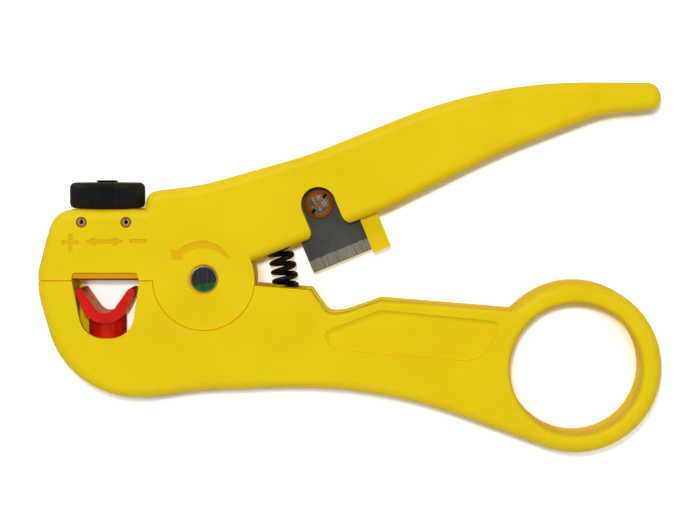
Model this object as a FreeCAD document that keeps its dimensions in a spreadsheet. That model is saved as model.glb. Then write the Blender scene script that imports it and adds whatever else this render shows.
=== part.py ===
import FreeCAD, Part
import math
import os
import Sketcher

from FreeCAD import Placement, Rotation, Vector

# Cable stripper lying on its back: X along the tool, Y across it, Z out of its front.
# The origin is on the pivot's axis, in the back face. All sizes are in millimetres and degrees.
drivingSizes = {
    # both arms
    "bodyDepth": 18.0,
    "edgeRound": 2.2,
    "discRadius": 10.35,
    "discGap": 0.15,
    "cheekDepth": 5.5,
    "cheekGap": 0.2,
    "seamHeight": -0.3,
    "seamGap": 0.2,
    "noseReach": 33.95,
    "jawDrop": 24.2,
    "handleRise": 40.1,
    "notchDrop": 7.2,
    "fitGap": 0.02,
    "runGap": 0.05,
    # finger ring of the lower arm
    "ringAlong": 75.9,
    "ringAcross": -17.95,
    "ringRadius": 17.4,
    "ringHole": 13.5,
    "ringHoleDrop": 0.35,
    "ringHoleRound": 1.2,
    "tipShare": 0.98,
    "stepRound": 0.3,
    "overcut": 1.0,
    "topEdgeRound": 0.8,
    "panelDepth": 1.0,
    # pivot pin
    "pivotRadius": 2.8,
    "pivotRecess": 0.5,
    "pivotSinkRadius": 3.15,
    "pivotSinkDepth": 1.4,
    "pivotChamfer": 0.4,
    # knob, its stud and the two pins that hold it
    "jawAxis": -20.35,
    "jawTop": 14.2,
    "shoulderTop": 17.75,
    "shoulderGap": 0.5,
    "shoulderLean": 0.6,
    "shoulderRound": 2.3,
    "knobGap": 0.15,
    "knobRadius": 7.75,
    "knobHeight": 5.3,
    "knobChamfer": 0.9,
    "hubRadius": 4.45,
    "hubBore": 4.6,
    "hubBottom": 9.75,
    "grooveRadius": 3.6,
    "grooveSide": 0.15,
    "ribCount": 36,
    "ribHalf": 0.37,
    "ribDepth": 0.4,
    "insertRadius": 3.7,
    "insertHeight": 3.8,
    "insertRoof": 0.9,
    "pinRadius": 0.75,
    "pinHole": 0.4,
    "pinOffset": 4.54,
    "pinHeight": 11.65,
    "pinRecess": 0.3,
    "pinSinkRadius": 0.98,
    "pinSinkDepth": 1.1,
    "pinSlit": 0.25,
    "studRadius": 2.4,
    "studBoreGap": 0.15,
    "studTop": 20.1,
    "studChamfer": 0.5,
    "studHeadFlat": 7.0,
    "studHeadHeight": 1.7,
    # carrier of the stripping blade
    "carrierHalf": 5.9,
    "carrierBottom": 2.2,
    "carrierTop": 9.1,
    "carrierDepth": 10.8,
    "carrierGap": 0.15,
    "carrierStep": 5.0,
    "studSeat": 5.6,
    "bladeTravel": 3.5,
    "stripEdge": 0.6,
    "stripTop": 4.9,
    "stripHalf": 4.6,
    "stripThick": 0.6,
    "stripBevel": 1.2,
    "clampThick": 1.2,
    "clampBottom": 2.5,
    "clampScrewApart": 5.6,
    "clampScrewHeight": 3.65,
    "clampScrewRadius": 0.8,
    "clampHeadRadius": 1.25,
    "clampHeadHeight": 0.9,
    "clampScrewGrip": 3.0,
    "clampSlot": 0.4,
    # mouth of the jaws and the sprung cradle
    "mouthFloor": -12.1,
    "mouthLeft": 6.75,
    "mouthRight": 7.35,
    "mouthFloorLeft": 4.3,
    "mouthFloorRight": 5.5,
    "mouthRound": 5.0,
    "windowTop": 1.35,
    "windowLean": 0.3,
    "windowRound": 0.6,
    "windowDepth": 2.0,
    "cradleLength": 13.7,
    "cradleTop": -2.0,
    "cradleBottom": -9.15,
    "cradleThroat": -8.8,
    "cradleThroatRound": 2.5,
    "cradleHalf": 6.45,
    "cradleInner": 4.8,
    "cradleBase": 3.24,
    "cradleBaseRound": 4.9,
    "cradleTipRound": 0.75,
    "cradleSlot": 1.6,
    "cradleSlotGap": 1.7,
    "cradleTravel": 3.0,
    "cradleGap": 0.3,
    "stemRadius": 3.9,
    "stemInset": 1.95,
    "stemBoreGap": 0.1,
    "stemFoot": -15.9,
    "footRadius": 4.4,
    "footHeight": 1.4,
    "footGap": 0.1,
    "stemBoreFloor": -20.3,
    "stemHollow": 2.8,
    "stemHollowTop": -10.6,
    "cradleWire": 0.25,
    "cradleCoil": 2.15,
    "cradleTurns": 7,
    # spring between the arms
    "springAlong": 15.65,
    "springAcross": 1.55,
    "springTilt": 9.0,
    "springReach": 7.0,
    "springWire": 0.55,
    "springCoil": 2.24,
    "springTurns": 6.3,
    "springPocket": 3.2,
    "springSeatGap": 0.1,
    # cutter blade with its screw, insert and guard fin
    "cutterAlong": 23.35,
    "cutterAcross": 15.3,
    "cutterAngle": 22.3,
    "cutterHalf": 6.5,
    "cutterReach": 12.85,
    "cutterBack": 4.4,
    "cutterThick": 0.8,
    "cutterBevel": 2.7,
    "cutterGap": 0.1,
    "screwRadius": 1.5,
    "screwHeadRadius": 2.9,
    "screwHeadHeight": 1.9,
    "screwHeadRound": 0.8,
    "screwTipChamfer": 0.3,
    "screwTipGap": 0.15,
    "screwSlot": 0.9,
    "screwSlotReach": 2.0,
    "screwSlotTurn": 32.0,
    "screwSlotDepth": 0.8,
    "nutRadius": 2.3,
    "nutHeight": 5.0,
    "keyholeRadius": 3.55,
    "keyholeLip": 2.2,
    "underReach": 6.25,
    "finGap": 0.04,
    "finWidth": 3.8,
    "finReach": 13.65,
    "finDepth": 4.0,
    "slotDepth": 4.6,
    "slotFloor": -8.9,
    "slotLeft": 20.6,
    "slotRight": 39.4,
}

os.makedirs("parts", exist_ok=True)
doc = FreeCAD.newDocument("CableStripper")
sheet = doc.addObject("Spreadsheet::Sheet", "dim")
for row, (alias, number) in enumerate(drivingSizes.items(), start=1):
    sheet.set(f"A{row}", alias)
    sheet.set(f"B{row}", str(number))
    sheet.setAlias(f"B{row}", alias)
doc.recompute()

midDepth = "dim.bodyDepth / 2"
bodies = []


def value(formula):
    # What a formula over the sheet's cells comes to
    return float(sheet.evalExpression(formula))


def newBody(name, along="0", across="0", up="0", rotation=Rotation()):
    body = doc.addObject("PartDesign::Body", name)
    body.Label = name
    body.Placement = Placement(Vector(), rotation)
    for axis, formula in (("x", along), ("y", across), ("z", up)):
        body.setExpression(f"Placement.Base.{axis}", formula)
    bodies.append(body)
    return body


def newSketch(body, name, role="XY_Plane", level="0", along="0", across="0", turn="0"):
    sketch = body.newObject("Sketcher::SketchObject", name)
    plane = next(item for item in body.Origin.OriginFeatures if item.Role == role)
    sketch.AttachmentSupport = [(plane, "")]
    sketch.MapMode = "FlatFace"
    sketch.AttachmentOffset = Placement(Vector(), Rotation(Vector(0, 0, 1), value(turn)))
    sketch.setExpression("AttachmentOffset.Base.x", along)
    sketch.setExpression("AttachmentOffset.Base.y", across)
    sketch.setExpression("AttachmentOffset.Base.z", level)
    if turn != "0":
        sketch.setExpression("AttachmentOffset.Rotation.Angle", turn)
    return sketch


def constrain(sketch, kind, places, formula):
    index = sketch.addConstraint(Sketcher.Constraint(kind, *places, value(formula)))
    sketch.setExpression(f"Constraints[{index}]", formula)


def addCircle(sketch, x, y, radius):
    centre = Vector(value(x), value(y), 0)
    index = sketch.addGeometry(Part.Circle(centre, Vector(0, 0, 1), value(radius)))
    constrain(sketch, "Radius", (index,), radius)
    constrain(sketch, "DistanceX", (-1, 1, index, 3), x)
    constrain(sketch, "DistanceY", (-1, 1, index, 3), y)


def addRectangle(sketch, left, bottom, right, top):
    x0, y0, x1, y1 = value(left), value(bottom), value(right), value(top)
    corners = [Vector(x0, y0, 0), Vector(x1, y0, 0), Vector(x1, y1, 0), Vector(x0, y1, 0)]
    lines = [sketch.addGeometry(Part.LineSegment(corners[side], corners[(side + 1) % 4]))
             for side in range(4)]
    for side in range(4):
        sketch.addConstraint(
            Sketcher.Constraint("Coincident", lines[side], 2, lines[(side + 1) % 4], 1))
    for side, kind in enumerate(("Horizontal", "Vertical", "Horizontal", "Vertical")):
        sketch.addConstraint(Sketcher.Constraint(kind, lines[side]))
    constrain(sketch, "DistanceX", (-1, 1, lines[0], 1), left)
    constrain(sketch, "DistanceY", (-1, 1, lines[0], 1), bottom)
    constrain(sketch, "DistanceX", (-1, 1, lines[2], 1), right)
    constrain(sketch, "DistanceY", (-1, 1, lines[2], 1), top)


def roundedPath(corners):
    # Straight runs and tangent arcs through corners given as x, y and a radius
    count = len(corners)
    ends = []
    pieces = []
    for index, (x, y, radius) in enumerate(corners):
        corner = Vector(x, y, 0)
        back = (Vector(*corners[index - 1][:2], 0) - corner).normalize()
        ahead = (Vector(*corners[(index + 1) % count][:2], 0) - corner).normalize()
        if radius == 0:
            ends.append((corner, corner))
            continue
        half = back.getAngle(ahead) / 2
        reach = radius / math.tan(half)
        inward = (back + ahead).normalize()
        middle = corner + inward * (radius / math.sin(half) - radius)
        start, stop = corner + back * reach, corner + ahead * reach
        pieces.append(Part.Arc(start, middle, stop))
        ends.append((start, stop))
    for index in range(count):
        start, stop = ends[index][1], ends[(index + 1) % count][0]
        if start.distanceToPoint(stop) > 1e-5:
            pieces.append(Part.LineSegment(start, stop))
    return pieces


def addOutline(sketch, corners):
    sketch.addGeometry(roundedPath(corners))


def sharedCorners(along, across, shares):
    # Corners given in shares of a length along X, which their radius follows, and of one across
    along, across = value(along), value(across)
    return [(x * along, y * across, radius * abs(along)) for x, y, radius in shares]


def pad(body, name, sketch, length, both=False, down=False):
    feature = body.newObject("PartDesign::Pad", name)
    feature.Profile = sketch
    feature.setExpression("Length", length)
    feature.Midplane = both
    feature.Reversed = down
    doc.recompute()
    return feature


def checkedCut(body, feature, before):
    # A cut that points away from the solid takes nothing off
    doc.recompute()
    if body.Shape.Volume > before - 1e-3:
        raise RuntimeError(f"{feature.Name} cuts nothing")


def pocket(body, name, sketch, depth, up=False, both=False):
    before = body.Shape.Volume
    feature = body.newObject("PartDesign::Pocket", name)
    feature.Profile = sketch
    feature.setExpression("Length", depth)
    feature.Reversed = up
    feature.Midplane = both
    checkedCut(body, feature, before)
    return feature


def groove(body, name, sketch):
    before = body.Shape.Volume
    feature = body.newObject("PartDesign::Groove", name)
    feature.Profile = sketch
    feature.ReferenceAxis = (sketch, ["V_Axis"])
    feature.Angle = 360
    checkedCut(body, feature, before)


def revolve(body, name, corners):
    # A turned form about the body's own Z axis, from a profile of radius and height
    sketch = newSketch(body, name + "Profile", "XZ_Plane")
    addOutline(sketch, corners)
    feature = body.newObject("PartDesign::Revolution", name)
    feature.Profile = sketch
    feature.ReferenceAxis = (sketch, ["V_Axis"])
    feature.Angle = 360
    doc.recompute()


def fillet(body, name, radius, chosen):
    base = body.Tip
    edges = [f"Edge{number}" for number, edge in enumerate(base.Shape.Edges, start=1)
             if chosen(edge)]
    feature = body.newObject("PartDesign::Fillet", name)
    feature.Base = (base, edges)
    feature.setExpression("Radius", radius)
    doc.recompute()


def middleOf(edge):
    return edge.valueAt((edge.FirstParameter + edge.LastParameter) / 2)


def onBroadFace(edge):
    depth = value("dim.bodyDepth")
    heights = [vertex.Z for vertex in edge.Vertexes] + [middleOf(edge).z]
    return all(abs(z) < 1e-6 for z in heights) or all(abs(z - depth) < 1e-6 for z in heights)


def bothBroadFaces(body, name, drawing, depth):
    # The same shallow cut sunk from the front face and from the back face
    front = newSketch(body, name + "FrontSketch", level="dim.bodyDepth")
    drawing(front)
    pocket(body, name + "Front", front, depth)
    back = newSketch(body, name + "BackSketch")
    drawing(back)
    pocket(body, name + "Back", back, depth, up=True)


overcut = value("dim.overcut")
seamLow = value("dim.seamHeight - dim.seamGap / 2")
seamHigh = value("dim.seamHeight + dim.seamGap / 2")
nose = value("-dim.noseReach")
jawAxis = value("dim.jawAxis")
jawTop = value("dim.jawTop")
upright = Rotation(Vector(1, 0, 0), -90)


def ringCorners(before, lastAngle, count):
    # Corners of a polygon that touches the ring all round, from the tangent through the
    # point before it to the tangent at the last angle
    centre = Vector(value("dim.ringAlong"), value("dim.ringAcross"), 0)
    radius = value("dim.ringRadius")
    toCentre = centre - Vector(*before[:2], 0)
    heading = math.atan2(toCentre.y, toCentre.x) - math.asin(radius / toCentre.Length)
    first = heading - math.pi / 2
    step = (lastAngle - first) / count
    reach = radius / math.cos(step / 2)
    angles = [first + step * (index + 0.5) for index in range(count)]
    return [(centre.x + reach * math.cos(angle), centre.y + reach * math.sin(angle), radius)
            for angle in angles]


def lowerArm():
    body = newBody("lower_arm")
    ringX, ringY, ringRadius = value("dim.ringAlong"), value("dim.ringAcross"), value("dim.ringRadius")
    jaw = sharedCorners("-dim.noseReach", "-dim.jawDrop", [
        (1, 0.124, 0.412), (0.819, 1, 0.548), (0.324, 1, 0.736), (0.047, 0.942, 1.767)])
    belly = sharedCorners("dim.ringAlong", "-dim.jawDrop", [(0.456, 0.888, 1.291)])
    notch = sharedCorners("dim.cutterAlong", "-dim.notchDrop", [
        (1.546, 0.597, 0), (1.233, 0.951, 0.137), (1.084, 1, 0.107), (0.936, 0.306, 0)])
    notchEnd = notch[-1]
    # The ring ends in its tangent, and that in the handle's upper edge
    ringEnd, tangentRun = math.radians(131), 0.14
    ringSide = (ringX + ringRadius * (math.cos(ringEnd) - tangentRun * math.sin(ringEnd)),
                ringY + ringRadius * (math.sin(ringEnd) + tangentRun * math.cos(ringEnd)), 0)
    corners = [(nose, seamLow, 0), *jaw, *belly, *ringCorners(belly[0], ringEnd, count=4),
               ringSide, *notch, (0, seamLow, 0)]
    sketch = newSketch(body, "LowerOutline")
    addOutline(sketch, corners)
    pad(body, "LowerBlank", sketch, "dim.bodyDepth")

    topEdgeFloor = -value("dim.notchDrop") - overcut

    def onTopEdge(edge):
        place = middleOf(edge)
        return notchEnd[0] < place.x < ringSide[0] and place.y > topEdgeFloor

    def onRim(edge):
        place = middleOf(edge)
        nearSeam = place.x < notchEnd[0] and place.y > notchEnd[1]
        return onBroadFace(edge) and not nearSeam and not onTopEdge(edge)

    fillet(body, "LowerRim", "dim.edgeRound", onRim)
    fillet(body, "LowerTopEdge", "dim.topEdgeRound",
           lambda edge: onBroadFace(edge) and onTopEdge(edge))

    # Round recesses for the cheeks leave the middle as a tongue
    bothBroadFaces(body, "CheekRecess",
                   lambda plan: addCircle(plan, "0", "0", "dim.discRadius + dim.discGap"),
                   "dim.cheekDepth + dim.cheekGap")
    tongue = newSketch(body, "TonguePlan", level=midDepth)
    addCircle(tongue, "0", "0", "dim.discRadius")
    pad(body, "Tongue", tongue, "dim.bodyDepth - 2 * (dim.cheekDepth + dim.cheekGap)", both=True)
    bore = newSketch(body, "PivotBorePlan", level="dim.bodyDepth")
    addCircle(bore, "0", "0", "dim.pivotRadius + dim.fitGap")
    pocket(body, "PivotBore", bore, "dim.bodyDepth")

    # Mouth for the cable, open towards the seam
    mouth = newSketch(body, "MouthPlan", level="dim.bodyDepth")
    floor = value("dim.mouthFloor")
    addOutline(mouth, [
        (jawAxis - value("dim.mouthLeft"), seamLow + overcut, 0),
        (jawAxis - value("dim.mouthFloorLeft"), floor, value("dim.mouthRound")),
        (jawAxis + value("dim.mouthFloorRight"), floor, value("dim.mouthRound")),
        (jawAxis + value("dim.mouthRight"), seamLow + overcut, 0)])
    pocket(body, "Mouth", mouth, "dim.bodyDepth")

    # Wider pocket behind the mouth, in which the cradle is pressed down
    well = newSketch(body, "CradleWellPlan", level=midDepth)
    wellFloor = "dim.cradleBottom - dim.cradleTravel - dim.cradleGap"
    addRectangle(well, "dim.jawAxis - dim.cradleHalf", wellFloor, "dim.jawAxis + dim.cradleHalf",
                 "dim.overcut")
    pocket(body, "CradleWell", well, "dim.cradleLength + dim.cradleGap", both=True)

    # Bore for the cradle's stem, with a lip that holds the stem's foot
    foot = "dim.stemFoot + dim.footHeight + dim.footGap"
    stemBore = newSketch(body, "StemBorePlan", "XZ_Plane", level="-dim.cradleBottom")
    addCircle(stemBore, "dim.jawAxis", midDepth, "dim.stemRadius + dim.stemBoreGap")
    pocket(body, "StemBore", stemBore, "dim.cradleBottom - dim.stemBoreFloor", up=True)
    footBore = newSketch(body, "FootBorePlan", "XZ_Plane", level=f"-({foot})")
    addCircle(footBore, "dim.jawAxis", midDepth, "dim.footRadius + dim.stemBoreGap")
    pocket(body, "FootBore", footBore, f"{foot} - dim.stemBoreFloor", up=True)

    springPocket(body, "LowerSpringPocket", "-dim.springReach - dim.springSeatGap", "0")

    # Clearance for the cutter's edge and its guard fin when the arms close
    slot = newSketch(body, "CutterSlotPlan", level=midDepth)
    addRectangle(slot, "dim.slotLeft", "dim.slotFloor", "dim.slotRight", "dim.overcut")
    pocket(body, "CutterSlot", slot, "dim.slotDepth", both=True)

    ringHole = newSketch(body, "RingHolePlan", level="dim.bodyDepth")
    addCircle(ringHole, "dim.ringAlong", "dim.ringAcross - dim.ringHoleDrop", "dim.ringHole")
    pocket(body, "RingHole", ringHole, "dim.bodyDepth")

    def onRingHole(edge):
        place = middleOf(edge)
        reach = math.hypot(place.x - ringX, place.y - value("dim.ringAcross - dim.ringHoleDrop"))
        return onBroadFace(edge) and abs(reach - value("dim.ringHole")) < 1e-3

    fillet(body, "RingHoleRim", "dim.ringHoleRound", onRingHole)

    # Shallow six-sided grip panel on both faces of the handle
    panel = sharedCorners("dim.ringAlong", "dim.ringAcross", [
        (0.3123, 0.607, 0.0198), (0.4743, 0.345, 0.033), (0.8063, 0.482, 0.021),
        (0.751, 0.875, 0.033), (0.7049, 0.925, 0.0395), (0.3491, 0.797, 0.033)])
    bothBroadFaces(body, "GripPanel", lambda plan: addOutline(plan, panel), "dim.panelDepth")
    return body


def springPocket(body, name, bottom, top):
    # A round blind seat on the slanted axis of the spring between the arms
    sketch = newSketch(body, name + "Profile", level=midDepth, along="dim.springAlong",
                       across="dim.springAcross", turn="dim.springTilt")
    addRectangle(sketch, "0", bottom, "dim.springPocket", top)
    groove(body, name, sketch)


def upperArm():
    body = newBody("upper_arm")
    rise, ringAlong = value("dim.handleRise"), value("dim.ringAlong")
    tip = ringAlong + value("dim.tipShare * dim.ringRadius")
    stepX = value("dim.jawAxis + dim.knobRadius + dim.shoulderGap")
    shoulder = (stepX + value("dim.shoulderLean"), value("dim.shoulderTop"), value("dim.shoulderRound"))
    underside = sharedCorners("dim.ringAlong", "dim.handleRise", [
        (0.4928, 0.3603, 0.527), (0.7958, 0.6421, 1.976), (1.0725, 0.8416, 0.329)])
    back = sharedCorners("dim.ringAlong", "dim.handleRise", [
        (1.041, 1, 0.527), (0.760, 0.9938, 1.3175), (0.282, 0.6309, 1.186), (-0.0105, 0.4751, 0.7905)])
    jaw = sharedCorners("-dim.noseReach", "dim.jawTop", [
        (0.893, 1, 0.147), (0.9515, 0.563, 0.59), (1, 0.1056, 0.118)])
    corners = [(nose, seamHigh, 0), (0, seamHigh, 0), *underside,
               (tip, 0.8628 * rise, 0.0303 * ringAlong), (tip, 0.9975 * rise, 0.0369 * ringAlong), *back,
               shoulder, (stepX, jawTop, value("dim.stepRound")), *jaw]
    sketch = newSketch(body, "UpperOutline")
    addOutline(sketch, corners)
    pad(body, "UpperBlank", sketch, "dim.bodyDepth")

    def onRim(edge):
        place = middleOf(edge)
        return onBroadFace(edge) and abs(place.y - seamHigh) > 1e-3

    fillet(body, "UpperRim", "dim.edgeRound", onRim)

    # Cheek discs, and the slot between them for the lower arm's tongue
    disc = newSketch(body, "CheekDiscPlan")
    addCircle(disc, "0", "0", "dim.discRadius")
    pad(body, "CheekDiscs", disc, "dim.bodyDepth")
    slot = newSketch(body, "TongueSlotPlan", level=midDepth)
    addCircle(slot, "0", "0", "dim.discRadius + dim.discGap")
    pocket(body, "TongueSlot", slot, "dim.bodyDepth - 2 * dim.cheekDepth", both=True)
    bore = newSketch(body, "PivotHolePlan", level="dim.bodyDepth")
    addCircle(bore, "0", "0", "dim.pivotRadius + dim.runGap")
    pocket(body, "PivotHole", bore, "dim.bodyDepth")
    bothBroadFaces(body, "PivotSink", lambda plan: addCircle(plan, "0", "0", "dim.pivotSinkRadius"),
                   "dim.pivotSinkDepth")

    # Chamber in which the blade carrier rises and falls, and the bore for the knob's hub
    chamberHalf = "(dim.carrierDepth / 2 + dim.carrierGap)"
    chamber = newSketch(body, "ChamberPlan", "XZ_Plane", level="-(dim.carrierTop + dim.carrierGap)")
    addRectangle(chamber, "dim.jawAxis - dim.carrierHalf - dim.carrierGap",
                 f"{midDepth} - {chamberHalf}",
                 "dim.jawAxis + dim.carrierHalf + dim.carrierGap", f"{midDepth} + {chamberHalf}")
    pocket(body, "Chamber", chamber, "dim.carrierTop + 2 * dim.overcut", up=True)
    hub = newSketch(body, "HubBorePlan", "XZ_Plane", level="-(dim.jawTop + dim.overcut)")
    addCircle(hub, "dim.jawAxis", midDepth, "dim.hubBore")
    pocket(body, "HubBore", hub, "dim.jawTop + dim.overcut - dim.carrierTop", up=True)

    # Cross holes for the two pins, with a wider mouth at either face
    def twoHoles(radius):
        def draw(plan):
            for side in ("-", "+"):
                addCircle(plan, f"dim.jawAxis {side} dim.pinOffset", "dim.pinHeight", radius)
        return draw

    pins = newSketch(body, "PinHolePlan", level="dim.bodyDepth")
    twoHoles("dim.pinRadius + dim.fitGap")(pins)
    pocket(body, "PinHoles", pins, "dim.bodyDepth")
    bothBroadFaces(body, "PinSink", twoHoles("dim.pinSinkRadius"), "dim.pinSinkDepth")

    # Sloping window over the mouth in both faces of the jaw
    windowTop = value("dim.windowTop")
    lean, corner = value("dim.windowLean"), value("dim.windowRound")
    left, right = jawAxis - value("dim.mouthLeft"), jawAxis + value("dim.mouthRight")
    window = [(left, seamHigh - overcut, 0), (left + lean, windowTop, corner),
              (right - 2 * lean, windowTop, corner), (right, seamHigh - overcut, 0)]
    bothBroadFaces(body, "Window", lambda plan: addOutline(plan, window), "dim.windowDepth")

    springPocket(body, "UpperSpringPocket", "0", "dim.springReach + dim.springSeatGap")
    cutterSeat(body)
    return body


def cutterSketch(body, name, level):
    # Sketches for the cutter lie square to its blade, with their origin on its screw
    return newSketch(body, name, level=level, along="dim.cutterAlong",
                     across="dim.cutterAcross", turn="dim.cutterAngle")


def cutterSeat(body):
    # Guard fin beside the blade, on the underside of the handle
    fin = cutterSketch(body, "FinPlan", midDepth)
    side = "dim.cutterHalf + dim.finGap"
    addRectangle(fin, side, "-dim.finReach", f"{side} + dim.finWidth", "-dim.underReach + dim.overcut")
    pad(body, "GuardFin", fin, "dim.finDepth", both=True)

    # Thin slot that holds the blade, and the keyhole that shows it from the front
    slot = cutterSketch(body, "BladeSlotPlan", midDepth)
    addRectangle(slot, f"-({side})", "-dim.cutterReach - dim.overcut", side,
                 "dim.cutterBack + dim.cutterGap")
    pocket(body, "BladeSlot", slot, "dim.cutterThick + 2 * dim.cutterGap", both=True)
    neck, lip, half = value("dim.keyholeRadius"), value("dim.keyholeLip"), value(side)
    under, outside = -value("dim.underReach"), -value("dim.cutterReach")
    # The round head's two corners leave a hair of straight edge between their arcs
    headRound = neck * 0.999
    keyhole = cutterSketch(body, "KeyholePlan", "dim.bodyDepth")
    addOutline(keyhole, [
        (-neck, neck, headRound), (-neck, under, lip), (-half, under, 0), (-half, outside, 0),
        (half, outside, 0), (half, under, 0), (neck, under, lip), (neck, neck, headRound)])
    pocket(body, "Keyhole", keyhole, f"{midDepth} - dim.cutterThick / 2 - dim.cutterGap")
    nut = cutterSketch(body, "NutHolePlan", f"{midDepth} - dim.cutterThick / 2")
    addCircle(nut, "0", "0", "dim.nutRadius + dim.fitGap")
    pocket(body, "NutHole", nut, "dim.nutHeight + dim.cutterGap")


def pivotPin():
    body = newBody("pivot_pin")
    low, high = value("dim.pivotRecess"), value("dim.bodyDepth - dim.pivotRecess")
    radius, chamfer = value("dim.pivotRadius"), value("dim.pivotChamfer")
    revolve(body, "Pin", [(0, low, 0), (radius - chamfer, low, 0), (radius, low + chamfer, 0),
                          (radius, high - chamfer, 0), (radius - chamfer, high, 0), (0, high, 0)])


def knob():
    body = newBody("depth_knob", along="dim.jawAxis", up=midDepth, rotation=upright)
    bore = value("dim.studRadius + dim.studBoreGap")
    hub, grooved = value("dim.hubRadius"), value("dim.grooveRadius")
    insert, head = value("dim.insertRadius"), value("dim.knobRadius")
    edge = value("dim.knobChamfer")
    headLow = value("dim.jawTop + dim.knobGap")
    headTop = headLow + value("dim.knobHeight")
    insertTop = headTop - value("dim.insertRoof")
    insertLow = insertTop - value("dim.insertHeight")
    grooveHalf = value("dim.pinRadius + dim.grooveSide")
    pinHeight = value("dim.pinHeight")
    revolve(body, "KnobForm", [
        (bore, value("dim.hubBottom"), 0), (hub, value("dim.hubBottom"), 0),
        (hub, pinHeight - grooveHalf, 0), (grooved, pinHeight - grooveHalf, 0),
        (grooved, pinHeight + grooveHalf, 0), (hub, pinHeight + grooveHalf, 0),
        (hub, headLow, 0), (head - edge, headLow, 0), (head, headLow + edge, 0),
        (head, headTop - edge, 0), (head - edge, headTop, 0), (bore, headTop, 0),
        (bore, insertTop, 0), (insert, insertTop, 0), (insert, insertLow, 0),
        (bore, insertLow, 0)])
    flute = newSketch(body, "FlutePlan", level="dim.jawTop")
    half, floor = value("dim.ribHalf"), head - value("dim.ribDepth")
    addOutline(flute, [(floor, 0, 0), (head + overcut, -half * 2, 0),
                       (head + overcut, half * 2, 0)])
    first = pocket(body, "Flute", flute, "dim.knobGap + dim.knobHeight + dim.overcut", up=True)
    pattern = body.newObject("PartDesign::PolarPattern", "Flutes")
    pattern.Originals = [first]
    pattern.Axis = (flute, ["N_Axis"])
    pattern.Angle = 360
    pattern.setExpression("Occurrences", "dim.ribCount")
    body.Tip = pattern
    doc.recompute()


def knobInsert():
    body = newBody("knob_insert", along="dim.jawAxis", up=midDepth, rotation=upright)
    top = value("dim.jawTop + dim.knobGap + dim.knobHeight - dim.insertRoof - dim.fitGap")
    low = top - value("dim.insertHeight - 2 * dim.fitGap")
    outer, inner = value("dim.insertRadius - dim.fitGap"), value("dim.studRadius + dim.runGap")
    revolve(body, "Insert", [(inner, low, 0), (outer, low, 0), (outer, top, 0), (inner, top, 0)])


def knobPin(name, side):
    # Rolled pin with its slit, across the jaw through the groove of the knob's hub
    body = newBody(name, along=f"dim.jawAxis {side} dim.pinOffset", across="dim.pinHeight")
    ring = newSketch(body, name + "Plan", level="dim.pinRecess")
    addCircle(ring, "0", "0", "dim.pinRadius")
    addCircle(ring, "0", "0", "dim.pinHole")
    pad(body, name + "Tube", ring, "dim.bodyDepth - 2 * dim.pinRecess")
    slit = newSketch(body, name + "SlitPlan", level="dim.bodyDepth")
    addRectangle(slit, "-dim.pinSlit / 2", "0", "dim.pinSlit / 2", "2 * dim.pinRadius")
    pocket(body, name + "Slit", slit, "dim.bodyDepth")


def bladeCarrier():
    body = newBody("blade_carrier", along="dim.jawAxis", up=midDepth)
    plan = newSketch(body, "CarrierPlan", "XZ_Plane", level="-dim.carrierTop")
    addRectangle(plan, "-dim.carrierHalf", "-dim.carrierDepth / 2", "dim.carrierHalf",
                 "dim.carrierDepth / 2")
    pad(body, "CarrierBlock", plan, "dim.carrierTop - dim.carrierBottom")
    step = newSketch(body, "BladeStepPlan", level="dim.carrierDepth")
    addRectangle(step, "-dim.carrierHalf - dim.overcut", "dim.carrierBottom - dim.overcut",
                 "dim.carrierHalf + dim.overcut",
                 "dim.carrierStep")
    pocket(body, "BladeStep", step, "dim.carrierDepth + dim.stripThick / 2")

    # Keyway for the stud: a six-sided seat for its head, open to the front, and its hole above
    headSlot = newSketch(body, "StudHeadPlan", level="dim.carrierDepth / 2")
    addRectangle(headSlot, "-dim.studHeadFlat / 2 - dim.runGap", "dim.studSeat - dim.runGap",
                 "dim.studHeadFlat / 2 + dim.runGap", "dim.studSeat + dim.studHeadHeight + dim.runGap")
    headBack = "dim.studHeadFlat / 2 / cos(30) + dim.runGap"
    pocket(body, "StudHeadSlot", headSlot, f"dim.carrierDepth / 2 + {headBack}")
    neckSlot = newSketch(body, "StudNeckPlan", level="dim.carrierDepth / 2")
    addRectangle(neckSlot, "-dim.studRadius - dim.runGap", "dim.studSeat",
                 "dim.studRadius + dim.runGap", "dim.carrierTop + dim.overcut")
    pocket(body, "StudNeckSlot", neckSlot, "dim.carrierDepth / 2 + dim.studRadius + dim.runGap")
    holes = newSketch(body, "ClampHolePlan", level="dim.carrierDepth / 2")
    for side in ("-", ""):
        addCircle(holes, f"{side}dim.clampScrewApart / 2", "dim.clampScrewHeight",
                  "dim.clampScrewRadius + dim.fitGap")
    pocket(body, "ClampHoles", holes, "dim.carrierDepth / 2 + dim.clampScrewGrip + dim.overcut")


def adjusterStud():
    body = newBody("adjuster_stud", along="dim.jawAxis", up=midDepth, rotation=upright)
    radius, chamfer, top = value("dim.studRadius"), value("dim.studChamfer"), value("dim.studTop")
    low = value("dim.studSeat")
    head = newSketch(body, "StudHeadPlan", level="dim.studSeat")
    reach = value("dim.studHeadFlat / 2 / cos(30)")
    angles = [math.radians(90 + 60 * index) for index in range(6)]
    addOutline(head, [(reach * math.cos(angle), reach * math.sin(angle), 0) for angle in angles])
    pad(body, "StudHead", head, "dim.studHeadHeight")
    revolve(body, "StudShank", [(0, low, 0), (radius, low, 0), (radius, top - chamfer, 0),
                                (radius - chamfer, top, 0), (0, top, 0)])


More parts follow.
